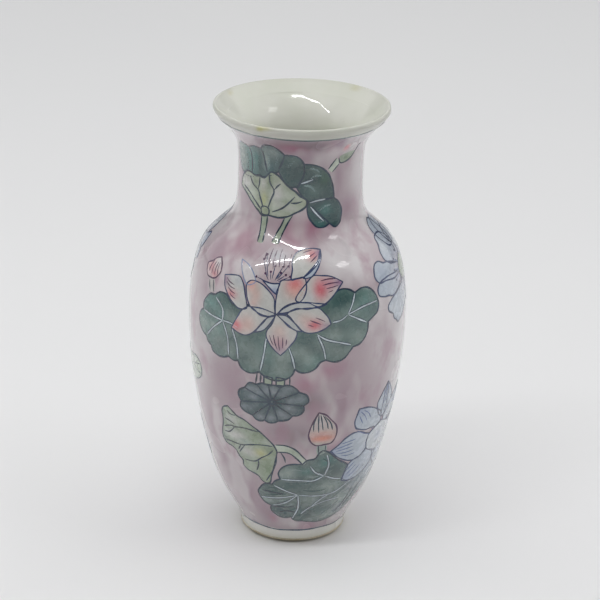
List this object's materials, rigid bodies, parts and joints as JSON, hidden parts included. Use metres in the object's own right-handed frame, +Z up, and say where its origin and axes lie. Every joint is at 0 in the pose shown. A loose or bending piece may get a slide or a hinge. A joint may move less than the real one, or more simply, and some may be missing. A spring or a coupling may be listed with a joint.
{
  "type": "vase",
  "caption": "Tall porcelain vase with a swelling body, narrow neck and flared rolled mouth, painted with lotus flowers and leaves on a pink ground.",
  "frame": {"origin": "centre of the foot's resting face, on the vase's axis", "axes": "+Z up along the vase's axis to the mouth, -Y towards the side with the main lotus flower, +X to that side's right"},
  "size_m": [0.1218, 0.1218, 0.254],
  "materials": {
    "porcelain_body": "unglazed biscuit, satin, slightly yellowed",
    "clear_glaze": "clear glaze over warm white porcelain, glossy",
    "pink_ground": "mottled mauve-pink enamel ground, glossy",
    "leaf_enamel": "grey-green enamel, glossy",
    "petal_enamel": "cream and coral enamel, glossy",
    "blue_enamel": "pale blue-lavender enamel, glossy",
    "outline_enamel": "dark blue brush line, glossy"
  },
  "bodies": {
    "root": {"foot_ring": "porcelain_body", "base_floor": "porcelain_body", "lower_body": "porcelain_body", "belly": "porcelain_body", "shoulder": "porcelain_body", "neck": "porcelain_body", "mouth_flare": "porcelain_body", "lip_rim": "clear_glaze", "outer_glaze": "pink_ground", "inner_glaze": "clear_glaze", "base_glaze": "clear_glaze"}
  },
  "joints": []
}
